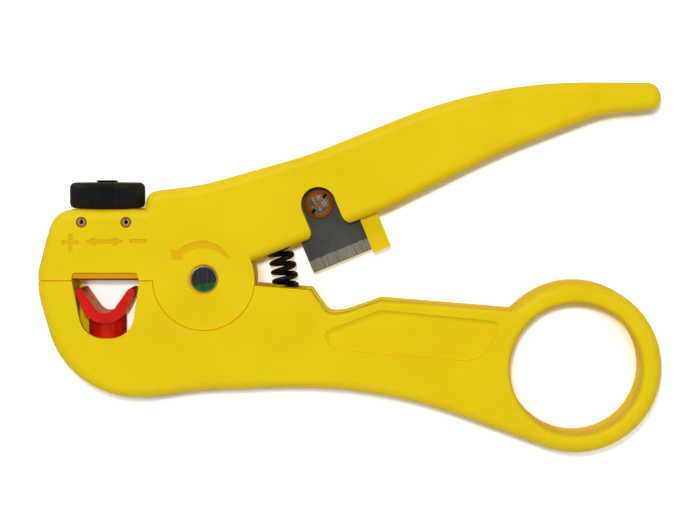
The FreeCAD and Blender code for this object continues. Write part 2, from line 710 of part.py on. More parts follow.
def stripBlade():
    body = newBody("strip_blade", along="dim.jawAxis", up=midDepth)
    edge, top = value("dim.stripEdge"), value("dim.stripTop")
    half, bevel = value("dim.stripThick / 2 - dim.fitGap"), value("dim.stripBevel")
    side = newSketch(body, "StripSection", "YZ_Plane")
    addOutline(side, [(edge, 0, 0), (edge + bevel, -half, 0), (top, -half, 0), (top, half, 0),
                      (edge + bevel, half, 0)])
    pad(body, "StripPlate", side, "2 * dim.stripHalf", both=True)
    clampHoles(body, "Strip")


def clampHoles(body, name):
    holes = newSketch(body, name + "HolePlan", level="dim.carrierDepth")
    for side in ("-", ""):
        addCircle(holes, f"{side}dim.clampScrewApart / 2", "dim.clampScrewHeight",
                  "dim.clampScrewRadius + dim.runGap")
    pocket(body, name + "Holes", holes, "2 * dim.carrierDepth")


def bladeClamp():
    body = newBody("blade_clamp", along="dim.jawAxis", up=midDepth)
    plate = newSketch(body, "ClampPlan", level="dim.stripThick / 2")
    addRectangle(plate, "-dim.stripHalf", "dim.clampBottom", "dim.stripHalf", "dim.stripTop")
    pad(body, "ClampPlate", plate, "dim.clampThick")
    clampHoles(body, "Clamp")


def clampScrew(name, side):
    body = newBody(name, along=f"dim.jawAxis {side} dim.clampScrewApart / 2",
                   across="dim.clampScrewHeight", up=f"{midDepth} + dim.stripThick / 2")
    seat = value("dim.clampThick + dim.fitGap")
    shank, head = value("dim.clampScrewRadius"), value("dim.clampHeadRadius")
    tip, crown = -value("dim.clampScrewGrip"), value("dim.clampHeadHeight")
    revolve(body, name + "Form", [(0, tip, 0), (shank, tip, 0), (shank, seat, 0), (head, seat, 0),
                                  (head, seat + crown, 0), (0, seat + crown, 0)])
    slot = newSketch(body, name + "SlotPlan", level=f"{seat + crown}")
    addRectangle(slot, "-dim.clampHeadRadius - dim.overcut", "-dim.clampSlot / 2",
                 "dim.clampHeadRadius + dim.overcut",
                 "dim.clampSlot / 2")
    pocket(body, name + "Slot", slot, "dim.clampHeadHeight / 2")


def cradle():
    body = newBody("cradle", along="dim.jawAxis", up=midDepth)
    top, bottom = value("dim.cradleTop"), value("dim.cradleBottom")
    outer, inner = value("dim.cradleHalf"), value("dim.cradleInner")
    throat, throatRound = value("dim.cradleThroat"), value("dim.cradleThroatRound")
    base, baseRound, tip = (value(f"dim.cradle{name}") for name in ("Base", "BaseRound", "TipRound"))
    section = newSketch(body, "CradleSection")
    addOutline(section, [
        (inner, top, tip), (0, throat, throatRound), (-inner, top, tip), (-outer, top, tip),
        (-base, bottom, baseRound), (base, bottom, baseRound), (outer, top, tip)])
    pad(body, "CradleVee", section, "dim.cradleLength", both=True)

    stemTop = "(dim.cradleBottom + dim.stemInset)"
    stem = newSketch(body, "StemPlan", "XZ_Plane", level=f"-{stemTop}")
    addCircle(stem, "0", "0", "dim.stemRadius")
    pad(body, "Stem", stem, f"{stemTop} - dim.stemFoot")
    foot = newSketch(body, "FootPlan", "XZ_Plane", level="-(dim.stemFoot + dim.footHeight)")
    addCircle(foot, "0", "0", "dim.footRadius")
    pad(body, "Foot", foot, "dim.footHeight")
    hollow = newSketch(body, "StemHollowPlan", "XZ_Plane", level="-dim.stemFoot")
    addCircle(hollow, "0", "0", "dim.stemHollow")
    pocket(body, "StemHollow", hollow, "dim.stemHollowTop - dim.stemFoot")

    # Gap in both limbs for the stripping blade's edge
    slot = newSketch(body, "BladeGapPlan", "XZ_Plane", level="-(dim.cradleTop + dim.overcut)")
    addRectangle(slot, "-dim.cradleHalf - dim.overcut", "-dim.cradleSlot / 2",
                 "dim.cradleHalf + dim.overcut",
                 "dim.cradleSlot / 2")
    slotFloor = "(dim.stripEdge - dim.bladeTravel - dim.cradleSlotGap)"
    pocket(body, "BladeGap", slot, f"dim.cradleTop + dim.overcut - {slotFloor}", up=True)


def coilSpring(body, name, low, high, coil, wire, turns):
    # Wire of six sides wound about the body's Z axis between two heights
    section = newSketch(body, name + "Wire", "XZ_Plane")
    middle, start, radius = value(coil), value(f"{low} + {wire}"), value(wire)
    angles = [math.radians(60 * side) for side in range(6)]
    addOutline(section, [(middle + radius * math.cos(angle), start + radius * math.sin(angle), 0)
                         for angle in angles])
    helix = body.newObject("PartDesign::AdditiveHelix", name)
    helix.Profile = section
    helix.ReferenceAxis = (section, ["V_Axis"])
    helix.Mode = "height-turns-angle"
    helix.setExpression("Height", f"{high} - ({low}) - 2 * {wire}")
    helix.setExpression("Turns", turns)
    doc.recompute()


def cradleSpring():
    body = newBody("cradle_spring", along="dim.jawAxis", up=midDepth, rotation=upright)
    coilSpring(body, "CradleCoils", "dim.stemBoreFloor + dim.springSeatGap",
               "dim.stemHollowTop - dim.springSeatGap", "dim.cradleCoil", "dim.cradleWire",
               "dim.cradleTurns")


def armSpring():
    lean = Rotation(Vector(0, 0, 1), value("dim.springTilt")) * upright
    body = newBody("arm_spring", along="dim.springAlong", across="dim.springAcross",
                   up=midDepth, rotation=lean)
    coilSpring(body, "ArmCoils", "-dim.springReach", "dim.springReach", "dim.springCoil",
               "dim.springWire", "dim.springTurns")


def cutterBody(name):
    return newBody(name, along="dim.cutterAlong", across="dim.cutterAcross", up=midDepth,
                   rotation=Rotation(Vector(0, 0, 1), value("dim.cutterAngle")))


def cutterBlade():
    body = cutterBody("cutter_blade")
    edge, back = -value("dim.cutterReach"), value("dim.cutterBack")
    half, bevel = value("dim.cutterThick / 2"), value("dim.cutterBevel")
    side = newSketch(body, "CutterSection", "YZ_Plane")
    addOutline(side, [(edge, -half, 0), (back, -half, 0), (back, half, 0), (edge + bevel, half, 0)])
    pad(body, "CutterPlate", side, "2 * dim.cutterHalf", both=True)
    hole = newSketch(body, "CutterHolePlan", level="dim.cutterThick")
    addCircle(hole, "0", "0", "dim.screwRadius + dim.runGap")
    pocket(body, "CutterHole", hole, "2 * dim.cutterThick")


def cutterScrew():
    body = cutterBody("cutter_screw")
    seat = value("dim.cutterThick / 2 + dim.fitGap")
    crown = seat + value("dim.screwHeadHeight")
    tip = value("dim.screwTipGap - dim.cutterThick / 2 - dim.nutHeight")
    shank, head = value("dim.screwRadius"), value("dim.screwHeadRadius")
    chamfer = value("dim.screwTipChamfer")
    revolve(body, "ScrewForm", [
        (0, tip, 0), (shank - chamfer, tip, 0), (shank, tip + chamfer, 0), (shank, seat, 0),
        (head, seat, 0), (head, crown, value("dim.screwHeadRound")), (0, crown, 0)])
    for name, turn in (("ScrewSlotA", "dim.screwSlotTurn"), ("ScrewSlotB", "dim.screwSlotTurn + 90")):
        slot = newSketch(body, name + "Plan", level=f"{crown}", turn=turn)
        addRectangle(slot, "-dim.screwSlotReach", "-dim.screwSlot / 2", "dim.screwSlotReach",
                     "dim.screwSlot / 2")
        pocket(body, name, slot, "dim.screwSlotDepth")


def cutterNut():
    body = cutterBody("cutter_nut")
    top = value("-dim.cutterThick / 2 - dim.fitGap")
    low = top - value("dim.nutHeight")
    outer, inner = value("dim.nutRadius"), value("dim.screwRadius + dim.fitGap")
    revolve(body, "Nut", [(inner, low, 0), (outer, low, 0), (outer, top, 0), (inner, top, 0)])


lowerArm()
upperArm()
pivotPin()
knob()
knobInsert()
knobPin("knob_pin_left", "-")
knobPin("knob_pin_right", "+")
bladeCarrier()
adjusterStud()
stripBlade()
bladeClamp()
clampScrew("clamp_screw_left", "-")
clampScrew("clamp_screw_right", "+")
cradle()
cradleSpring()
armSpring()
cutterBlade()
cutterScrew()
cutterNut()

doc.recompute()
for item in doc.Objects:
    if "Invalid" in item.State or "Error" in item.State:
        raise RuntimeError(f"{item.Label} failed: {item.State}")
for body in bodies:
    if body.Shape.isNull() or not body.Shape.isValid() or not body.Shape.Solids:
        raise RuntimeError(f"{body.Label} has no sound shape")
for body in bodies:
    body.Shape.exportStep(f"parts/{body.Label}.step")
    box = body.Shape.BoundBox
    print(f"{body.Label}: {len(body.Shape.Solids)} solid, {body.Shape.Volume:.1f} mm3, "
          f"x {box.XMin:.2f}..{box.XMax:.2f} y {box.YMin:.2f}..{box.YMax:.2f} "
          f"z {box.ZMin:.2f}..{box.ZMax:.2f}")
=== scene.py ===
import math

import bmesh
import bpy
from mathutils import Matrix, Vector


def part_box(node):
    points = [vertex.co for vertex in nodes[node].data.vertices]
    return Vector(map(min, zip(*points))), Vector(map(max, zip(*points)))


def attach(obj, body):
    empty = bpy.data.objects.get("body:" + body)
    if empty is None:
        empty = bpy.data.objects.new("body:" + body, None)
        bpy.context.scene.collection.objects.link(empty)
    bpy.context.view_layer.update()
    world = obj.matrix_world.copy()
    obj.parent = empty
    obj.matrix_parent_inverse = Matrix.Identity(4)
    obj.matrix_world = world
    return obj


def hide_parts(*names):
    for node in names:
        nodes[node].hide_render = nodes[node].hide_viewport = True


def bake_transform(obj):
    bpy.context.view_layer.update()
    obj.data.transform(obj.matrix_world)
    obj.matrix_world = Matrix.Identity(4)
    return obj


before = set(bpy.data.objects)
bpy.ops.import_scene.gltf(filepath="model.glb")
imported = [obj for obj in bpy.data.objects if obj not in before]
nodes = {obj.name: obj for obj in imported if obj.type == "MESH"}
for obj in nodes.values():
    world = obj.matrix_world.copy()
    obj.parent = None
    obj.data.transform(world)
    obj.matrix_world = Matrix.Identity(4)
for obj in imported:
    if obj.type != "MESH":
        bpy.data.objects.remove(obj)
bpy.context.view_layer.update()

# Sizes on the part are in millimetres, and mm turns them into Blender's metres
mm = 0.001
midDepth = 9.0      # half the tool's thickness, where the two halves of the moulds meet
knobAlong = -20.35  # where the axis of knob, stud and cradle lies along the tool
black, white = (0, 0, 0, 1), (1, 1, 1, 1)


def placeAt(x, y, z):
    return Matrix.Translation(Vector((x, y, z)) * mm)


def spinBy(degrees, axis="Z"):
    return Matrix.Rotation(math.radians(degrees), 4, axis)


def paint(red, green, blue):
    # Screen tones 0-255 to the linear colour that a shader takes
    def linear(tone):
        share = tone / 255
        return share / 12.92 if share <= 0.04045 else ((share + 0.055) / 1.055) ** 2.4
    return (linear(red), linear(green), linear(blue), 1.0)


# Node trees

def addNode(tree, kind, inputs=None, **settings):
    node = tree.nodes.new(kind)
    for key, setting in settings.items():
        setattr(node, key, setting)
    for key, given in (inputs or {}).items():
        if isinstance(given, bpy.types.NodeSocket):
            tree.links.new(given, node.inputs[key])
        else:
            node.inputs[key].default_value = given
    return node


def calc(tree, operation, first, second=0.0):
    # One Math node on two sockets or numbers
    return addNode(tree, "ShaderNodeMath", {0: first, 1: second}, operation=operation).outputs[0]


def ramp(tree, source, low, high, outLow=0.0, outHigh=1.0):
    return addNode(tree, "ShaderNodeMapRange",
                   {"Value": source, "From Min": low, "From Max": high,
                    "To Min": outLow, "To Max": outHigh}).outputs[0]


def mixColour(tree, mask, first, second):
    node = addNode(tree, "ShaderNodeMix", data_type="RGBA")
    for socket, given in ((node.inputs[0], mask), (node.inputs[6], first), (node.inputs[7], second)):
        if isinstance(given, bpy.types.NodeSocket):
            tree.links.new(given, socket)
        else:
            socket.default_value = given
    return node.outputs[2]


def millimetres(tree):
    # A point's place on the part at rest, in millimetres
    coordinates = addNode(tree, "ShaderNodeTexCoord")
    return addNode(tree, "ShaderNodeVectorMath",
                   {0: coordinates.outputs["Object"], "Scale": 1 / mm}, operation="SCALE").outputs[0]


def partAxes(tree):
    # The same place as its x, y and z
    return addNode(tree, "ShaderNodeSeparateXYZ", {0: millimetres(tree)}).outputs


def newGroup(name, inputs, outputs):
    tree = bpy.data.node_groups.new(name, "ShaderNodeTree")
    for label, start in inputs.items():
        socket = tree.interface.new_socket(name=label, in_out="INPUT", socket_type="NodeSocketFloat")
        socket.default_value = start
    for label in outputs:
        tree.interface.new_socket(name=label, in_out="OUTPUT", socket_type="NodeSocketFloat")
    return tree, tree.nodes.new("NodeGroupInput").outputs, tree.nodes.new("NodeGroupOutput").inputs


def useGroup(tree, group, **inputs):
    node = addNode(tree, "ShaderNodeGroup", node_tree=group)
    for label, given in inputs.items():
        node.inputs[label].default_value = given
    return node.outputs


noiseSpan = (0.3, 0.7)  # nearly all of a noise lies between these


def buildGrain():
    # Fine moulding grain, and the slow change of tone where the plastic flowed
    tree, given, out = newGroup("mouldGrain", {"GrainSize": 0.3, "FlowSize": 12.0}, ["Grain", "Flow"])
    place = millimetres(tree)
    fine = addNode(tree, "ShaderNodeTexNoise",
                   {"Vector": place, "Scale": calc(tree, "DIVIDE", 1.0, given["GrainSize"]),
                    "Detail": 3.0, "Roughness": 0.6})
    slow = addNode(tree, "ShaderNodeTexNoise",
                   {"Vector": place, "Scale": calc(tree, "DIVIDE", 1.0, given["FlowSize"]),
                    "Detail": 2.0, "Distortion": 0.6})
    tree.links.new(fine.outputs[0], out["Grain"])
    tree.links.new(ramp(tree, slow.outputs[0], *noiseSpan), out["Flow"])
    return tree


# How far the rounded normal turns at an edge, as a cosine, and which noise leaves the edge unworn
wearSpans = {"edge": (0.995, 0.93), "patches": (0.42, 0.62)}


def buildWear(spans):
    # Rubbed edges: the rounded normal turns away from the true one, broken up by noise
    tree, given, out = newGroup("edgeWear", {"Reach": 0.4, "BreakSize": 1.5}, ["Mask"])
    rounded = addNode(tree, "ShaderNodeBevel",
                      {"Radius": calc(tree, "MULTIPLY", given["Reach"], mm)}, samples=6)
    plain = addNode(tree, "ShaderNodeNewGeometry")
    facing = addNode(tree, "ShaderNodeVectorMath",
                     {0: rounded.outputs[0], 1: plain.outputs["Normal"]}, operation="DOT_PRODUCT")
    edge = ramp(tree, facing.outputs["Value"], *spans["edge"])
    broken = addNode(tree, "ShaderNodeTexNoise",
                     {"Vector": millimetres(tree),
                      "Scale": calc(tree, "DIVIDE", 1.0, given["BreakSize"]), "Detail": 5.0})
    patchy = ramp(tree, broken.outputs[0], *spans["patches"])
    tree.links.new(calc(tree, "MULTIPLY", edge, patchy), out["Mask"])
    return tree


def buildLines():
    # Straight grinding or brushing marks along one direction in the XY plane
    tree, given, out = newGroup("brushLines", {"Angle": 0.0, "LineWidth": 0.08, "LineLength": 6.0},
                                ["Lines", "Across"])
    spun = addNode(tree, "ShaderNodeVectorRotate",
                   {"Vector": millimetres(tree), "Angle": calc(tree, "MULTIPLY", given["Angle"], -1.0)},
                   rotation_type="Z_AXIS")
    split = addNode(tree, "ShaderNodeSeparateXYZ", {0: spun.outputs[0]})
    squeezed = addNode(tree, "ShaderNodeCombineXYZ",
                       {0: calc(tree, "DIVIDE", split.outputs[0], given["LineWidth"]),
                        1: calc(tree, "DIVIDE", split.outputs[1], given["LineLength"]),
                        2: calc(tree, "DIVIDE", split.outputs[2], given["LineLength"])})
    marks = addNode(tree, "ShaderNodeTexNoise",
                    {"Vector": squeezed.outputs[0], "Scale": 1.0, "Detail": 2.0})
    tree.links.new(ramp(tree, marks.outputs[0], *noiseSpan), out["Lines"])
    tree.links.new(split.outputs[1], out["Across"])
    return tree


mouldGrain, edgeWear, brushLines = buildGrain(), buildWear(wearSpans), buildLines()


def blankMaterial(name, **fixed):
    material = bpy.data.materials.new(name)
    material.use_nodes = True
    tree = material.node_tree
    shader = tree.nodes["Principled BSDF"]
    for label, setting in fixed.items():
        shader.inputs[label.replace("_", " ")].default_value = setting
    return material, tree, shader


def bumpFrom(tree, shader, height, depth):
    bump = addNode(tree, "ShaderNodeBump", {"Height": height, "Distance": depth * mm})
    tree.links.new(bump.outputs[0], shader.inputs["Normal"])


# What all the mouldings share
plasticLook = {"scatter": (1.0, 0.5, 0.05), "wornRougher": 0.12, "lineSoft": 0.4,
               "gapShade": (0.4, 0.08), "offBench": (1.5, 3.0), "partingWidth": 0.12, "partingRise": 2.5}


def mouldedPlastic(name, look):
    material, tree, shader = blankMaterial(
        name, Specular_IOR_Level=look["gloss"], Coat_Roughness=look.get("coatRoughness", 0.1),
        Coat_Weight=look.get("coat", 0.0), Subsurface_Weight=look.get("through", 0.0),
        Subsurface_Radius=plasticLook["scatter"], Subsurface_Scale=look.get("throughDepth", 0.5) * mm)
    grain = useGroup(tree, mouldGrain, GrainSize=look["grainSize"], FlowSize=look["flowSize"])
    wear = useGroup(tree, edgeWear, Reach=look["wearReach"], BreakSize=look["wearBreak"])
    colour = mixColour(tree, grain["Flow"], look["deepTone"], look["tone"])
    worn = calc(tree, "MULTIPLY", wear["Mask"], look["wearAmount"])
    colour = mixColour(tree, worn, colour, look["wornTone"])
    if "shadowLine" in look:
        # Painted shade where the face ends over the mouth: a dark line, tinted red as a painted
        # reflection of the cradle
        line = look["shadowLine"]
        foot = line["level"] + plasticLook["lineSoft"] * line["width"]
        dark = ramp(tree, partAxes(tree)[1], line["level"] + line["width"], foot)
        colour = mixColour(tree, dark, colour, line["tone"])
    tree.links.new(colour, shader.inputs["Base Color"])
    if "creviceGlow" in look:
        # Painted glow: an orange emission in narrow gaps, standing for light that comes through the
        # plastic, but not where the part lies on a bench
        shut = addNode(tree, "ShaderNodeAmbientOcclusion", {"Distance": look["creviceReach"] * mm},
                       samples=8).outputs["AO"]
        clear = ramp(tree, partAxes(tree)[2], *plasticLook["offBench"])
        inside = calc(tree, "MULTIPLY", ramp(tree, shut, *plasticLook["gapShade"]), clear)
        tree.links.new(mixColour(tree, inside, black, look["creviceGlow"]),
                       shader.inputs["Emission Color"])
        shader.inputs["Emission Strength"].default_value = 1.0
    rough = ramp(tree, grain["Grain"], *noiseSpan, *look["roughness"])
    rougher = calc(tree, "MULTIPLY", worn, plasticLook["wornRougher"])
    tree.links.new(calc(tree, "ADD", rough, rougher), shader.inputs["Roughness"])
    height = grain["Grain"]
    if "partingLevel" in look:
        # Hair line where the two halves of the mould met
        away = calc(tree, "ABSOLUTE", calc(tree, "SUBTRACT", partAxes(tree)[2], look["partingLevel"]))
        seam = ramp(tree, away, plasticLook["partingWidth"], 0.0, 0.0, plasticLook["partingRise"])
        height = calc(tree, "ADD", height, seam)
    bumpFrom(tree, shader, height, look["grainDepth"])
    return material


def plainMetal(name, look):
    material, tree, shader = blankMaterial(name, Specular_IOR_Level=0.5)
    grain = useGroup(tree, mouldGrain, GrainSize=look["grainSize"], FlowSize=look["flowSize"])
    wear = useGroup(tree, edgeWear, Reach=look["wearReach"], BreakSize=look["wearBreak"])
    lines = useGroup(tree, brushLines, Angle=math.radians(look["angle"]), LineWidth=look["lineWidth"])
    shade = calc(tree, "MULTIPLY", grain["Flow"], lines["Lines"])
    colour = mixColour(tree, shade, look["deepTone"], look["tone"])
    tree.links.new(mixColour(tree, wear["Mask"], colour, look["wornTone"]),
                   shader.inputs["Base Color"])
    tree.links.new(ramp(tree, lines["Lines"], 0.0, 1.0, *look["roughness"]), shader.inputs["Roughness"])
    tree.links.new(ramp(tree, wear["Mask"], 0.0, 1.0, look["metallic"], 1.0), shader.inputs["Metallic"])
    scratches = calc(tree, "MULTIPLY", lines["Lines"], look["lineShare"])
    bumpFrom(tree, shader, calc(tree, "ADD", grain["Grain"], scratches), look["grainDepth"])
    return material


# creviceGlow is the colour of a painted glow that the plastic gives off in narrow gaps
yellowLook = {"tone": paint(231, 204, 14), "deepTone": paint(228, 196, 10),
              "wornTone": paint(241, 222, 66), "wearAmount": 0.2, "wearReach": 0.35,
              "wearBreak": 2.2, "roughness": (0.34, 0.46), "grainSize": 0.22, "grainDepth": 0.012,
              "flowSize": 14.0, "gloss": 0.22, "through": 0.3, "throughDepth": 0.9, "creviceReach": 1.2,
              "creviceGlow": paint(120, 62, 2), "partingLevel": midDepth}
# Symbol floors are painted darker and more orange than the face: painted shade in the engravings
symbolShadeLook = dict(yellowLook, tone=paint(226, 182, 8), deepTone=paint(222, 176, 8), wearAmount=0.0)
# The window's floor is painted darker and more orange than the face: painted shade in the recess
windowShadeLook = dict(symbolShadeLook, tone=paint(236, 178, 8), deepTone=paint(230, 170, 8),
                  # shadowLine is painted shade with a red painted reflection along the face's lower edge
                  # over the mouth
                  shadowLine={"level": -0.2, "width": 0.45, "tone": paint(110, 10, 6)})
# The ring round each roll pin is painted brown-orange: painted shade in the sink round the pin
sinkShadeLook = dict(symbolShadeLook, tone=paint(176, 96, 14), deepTone=paint(150, 74, 8))
redLook = {"tone": paint(224, 30, 10), "deepTone": paint(196, 18, 6),
           "wornTone": paint(236, 96, 80), "wearAmount": 0.3, "wearReach": 0.25, "wearBreak": 1.2,
           "roughness": (0.16, 0.28), "grainSize": 0.3, "grainDepth": 0.006, "flowSize": 6.0,
           "gloss": 0.4, "coat": 0.15, "coatRoughness": 0.08}
blackLook = {"tone": paint(20, 20, 23), "deepTone": paint(12, 12, 14),
             "wornTone": paint(54, 55, 59), "wearAmount": 0.4, "wearReach": 0.15, "wearBreak": 0.9,
             "roughness": (0.36, 0.5), "grainSize": 0.15, "grainDepth": 0.01, "flowSize": 5.0,
             "gloss": 0.28}
carrierLook = dict(blackLook, tone=paint(44, 44, 46), deepTone=paint(34, 34, 36))
springLook = {"tone": paint(16, 16, 15), "deepTone": paint(6, 6, 5), "wornTone": paint(60, 60, 58),
              "grainSize": 0.2, "grainDepth": 0.008, "flowSize": 2.0, "wearReach": 0.1,
              "wearBreak": 0.8, "angle": 0.0, "lineWidth": 0.08, "lineShare": 0.4,
              "roughness": (0.22, 0.38), "metallic": 0.35}
steelLook = {"tone": paint(196, 196, 198), "deepTone": paint(150, 150, 154),
             "wornTone": paint(235, 235, 235), "grainSize": 0.12, "grainDepth": 0.004,
             "flowSize": 3.0, "wearReach": 0.1, "wearBreak": 0.8, "angle": 0.0, "lineWidth": 0.08,
             "lineShare": 0.6, "roughness": (0.18, 0.34), "metallic": 0.98}
brassLook = dict(steelLook, tone=paint(222, 178, 98), deepTone=paint(186, 140, 66),
                 wornTone=paint(244, 214, 150))
rollLook = dict(steelLook, tone=paint(196, 192, 184), deepTone=paint(160, 155, 146),
                roughness=(0.45, 0.6), metallic=0.55)
stripLook = dict(steelLook, tone=paint(168, 169, 172), deepTone=paint(112, 113, 118))

yellowMoulding = mouldedPlastic("yellowMoulding", yellowLook)
symbolShade = mouldedPlastic("symbolShade", symbolShadeLook)
windowShade = mouldedPlastic("windowShade", windowShadeLook)
pinSinkShade = mouldedPlastic("pinSinkShade", sinkShadeLook)
redMoulding = mouldedPlastic("redMoulding", redLook)
blackMoulding = mouldedPlastic("blackMoulding", blackLook)
carrierMoulding = mouldedPlastic("carrierMoulding", carrierLook)
springBlack = plainMetal("springBlack", springLook)
brightSteel = plainMetal("brightSteel", steelLook)
insertBrass = plainMetal("insertBrass", brassLook)
rolledSteel = plainMetal("rolledSteel", rollLook)
stripSteel = plainMetal("stripSteel", stripLook)

cutterPlace = {"along": 23.35, "across": 15.3, "angle": 22.3}


def acrossCutter(distance):
    # Where a line square to the blade lies, in the turned coordinate of the brushing marks
    angle = math.radians(cutterPlace["angle"])
    origin = -math.sin(angle) * cutterPlace["along"] + math.cos(angle) * cutterPlace["across"]
    return origin + distance


# Streaks are given as width and length
bladeLook = {"fineStreaks": (0.1, 5.0), "broadStreaks": (0.45, 9.0), "ragged": 0.16,
             "bandTop": acrossCutter(-10.35), "bandSoft": 0.12,
             "honedTop": acrossCutter(-12.65), "honedSoft": 0.05,
             "plateTone": paint(78, 78, 76), "plateLight": paint(88, 88, 86),
             "groundTone": paint(112, 111, 107), "groundLight": paint(204, 203, 198),
             "honedTone": paint(196, 142, 40), "grainSize": 0.25, "flowSize": 4.0,
             "metallic": (0.35, 0.75), "roughness": (0.34, 0.5),
             "plateMarks": 0.15, "grainShare": 0.3, "markDepth": 0.02}


def groundBlade(name, look):
    # Dark hardened plate: a ground band with streaks along it, and the honed line of the edge
    material, tree, shader = blankMaterial(name, Specular_IOR_Level=0.5)
    streaks, broad = [useGroup(tree, brushLines, Angle=math.radians(cutterPlace["angle"]),
                               LineWidth=width, LineLength=length)
                      for width, length in (look["fineStreaks"], look["broadStreaks"])]
    grain = useGroup(tree, mouldGrain, GrainSize=look["grainSize"], FlowSize=look["flowSize"])
    ragged = calc(tree, "MULTIPLY", ramp(tree, broad["Lines"], 0, 1, -1, 1), look["ragged"])
    height = calc(tree, "ADD", streaks["Across"], ragged)
    band = ramp(tree, height, look["bandTop"] + look["bandSoft"], look["bandTop"] - look["bandSoft"])
    honed = ramp(tree, streaks["Across"], look["honedTop"] + look["honedSoft"],
                 look["honedTop"] - look["honedSoft"])
    plate = mixColour(tree, grain["Flow"], look["plateTone"], look["plateLight"])
    ground = mixColour(tree, streaks["Lines"], look["groundTone"], look["groundLight"])
    colour = mixColour(tree, band, plate, ground)
    tree.links.new(mixColour(tree, honed, colour, look["honedTone"]), shader.inputs["Base Color"])
    tree.links.new(ramp(tree, band, 0, 1, *look["metallic"]), shader.inputs["Metallic"])
    tree.links.new(ramp(tree, streaks["Lines"], 0, 1, *look["roughness"]), shader.inputs["Roughness"])
    marks = calc(tree, "MULTIPLY", streaks["Lines"], ramp(tree, band, 0, 1, look["plateMarks"], 1.0))
    fine = calc(tree, "MULTIPLY", grain["Grain"], look["grainShare"])
    bumpFrom(tree, shader, calc(tree, "ADD", marks, fine), look["markDepth"])
    return material


cutterSteel = groundBlade("cutterSteel", bladeLook)
print("finishes built")


# Mesh helpers

weldReach = 0.4e-6  # metres within which two points become one
samePlace = 1e-9    # metres within which two rings touch, so no face stands between them
toolOver = 1.0      # how far a cutting tool stands out of the face that it cuts


def finishMesh(name, form, materials, sharpAngle=32, place=None):
    bmesh.ops.remove_doubles(form, verts=form.verts, dist=weldReach)
    bmesh.ops.recalc_face_normals(form, faces=form.faces)
    limit = math.radians(sharpAngle)
    for face in form.faces:
        face.smooth = True
    for edge in form.edges:
        edge.smooth = edge.is_manifold and edge.calc_face_angle(0) < limit
    if place is not None:
        form.transform(place)
    mesh = bpy.data.meshes.new(name)
    form.to_mesh(mesh)
    form.free()
    for material in materials:
        mesh.materials.append(material)
    piece = bpy.data.objects.new(name, mesh)
    bpy.context.scene.collection.objects.link(piece)
    return piece


def ringsToFaces(form, rings, closed=False):
    pairs = list(zip(rings, rings[1:])) + ([(rings[-1], rings[0])] if closed else [])
    for lower, upper in pairs:
        for index in range(len(lower)):
            after = (index + 1) % len(lower)
            gaps = [(lower[side].co - upper[side].co).length for side in (index, after)]
            if max(gaps) >= samePlace:
                form.faces.new([lower[index], lower[after], upper[after], upper[index]])


def closeEnds(form, rings):
    form.faces.new(list(reversed(rings[0])))
    form.faces.new(rings[-1])


def onCircle(radius, angle):
    return (radius * math.cos(angle), radius * math.sin(angle))


def ringAt(form, height, steps, reachAt):
    # One ring of points round Z; reachAt gives the radius by angle
    ring = []
    for step in range(steps):
        angle = 2 * math.pi * step / steps
        ring.append(form.verts.new(Vector((*onCircle(reachAt(angle), angle), height)) * mm))
    return ring


def turned(form, profile, steps, shape=None):
    # A profile of radius and height, turned about Z; shape may change a radius by angle
    rings = []
    for radius, height in profile:
        def reachAt(angle):
            return radius if shape is None else shape(radius, height, angle)
        rings.append(ringAt(form, height, steps, reachAt))
    return rings


def roundCorner(centre, radius, start, stop, count):
    points = []
    for index in range(count + 1):
        x, y = onCircle(radius, math.radians(start + (stop - start) * index / count))
        points.append((centre[0] + x, centre[1] + y))
    return points


def prism(form, outline, low, high):
    # A flat outline drawn up between two heights
    floor = [form.verts.new(Vector((x, y, low)) * mm) for x, y in outline]
    roof = [form.verts.new(Vector((x, y, high)) * mm) for x, y in outline]
    closeEnds(form, [floor, roof])
    for index in range(len(outline)):
        after = (index + 1) % len(outline)
        form.faces.new([floor[index], floor[after], roof[after], roof[index]])


def cutAway(piece, tool):
    cut = piece.modifiers.new("cut", "BOOLEAN")
    cut.operation = "DIFFERENCE"
    cut.solver = "EXACT"
    cut.object = tool
    bpy.context.view_layer.update()
    done = bpy.data.meshes.new_from_object(piece.evaluated_get(bpy.context.evaluated_depsgraph_get()))
    piece.modifiers.remove(cut)
    piece.data = done
    bpy.data.objects.remove(tool)


# Upper arm with its engraved symbols

# Arrow and minus are given as left end, right end and height. The sweep is the curved arrow: angles in
# degrees round the pivot, each with its radius, and then its head's inner barb, tip and outer barb.
armLook = {"face": 18.0, "depth": 0.22, "windowDepth": 2.0, "sinkReach": 1.12, "sinkDepth": 0.25,
           "plus": (-27.1, 7.5), "plusReach": 1.75, "stroke": 0.45,
           "arrow": (-24.1, -16.3, 7.7), "arrowHead": 2.1, "arrowHalf": 1.0, "shaft": 0.42,
           "minus": (-15.1, -11.5, 7.8), "minusHalf": 0.43,
           "sweepOuter": [(133.6, 7.87), (93.0, 7.97), (66.0, 7.55), (51.5, 7.27), (37.5, 6.93)],
           "sweepInner": [(38.5, 6.62), (54.0, 6.25), (71.0, 6.33), (90.0, 6.37), (133.3, 6.56)],
           "sweepHead": [(-3.99, 4.09), (-6.44, 4.09), (-6.69, 6.28)], "sweepSteps": 22,
           "levelReach": 0.01, "flatNormal": 0.9}


def sweptArc(stations, count):
    # Points at radii that change smoothly between the given angles
    points = []
    first, last = stations[0][0], stations[-1][0]
    for index in range(count + 1):
        angle = first + (last - first) * index / count
        for (a0, r0), (a1, r1) in zip(stations, stations[1:]):
            if min(a0, a1) - 1e-6 <= angle <= max(a0, a1) + 1e-6:
                share = (angle - a0) / (a1 - a0)
                share = share * share * (3 - 2 * share)
                points.append(onCircle(r0 + (r1 - r0) * share, math.radians(angle)))
                break
    return points


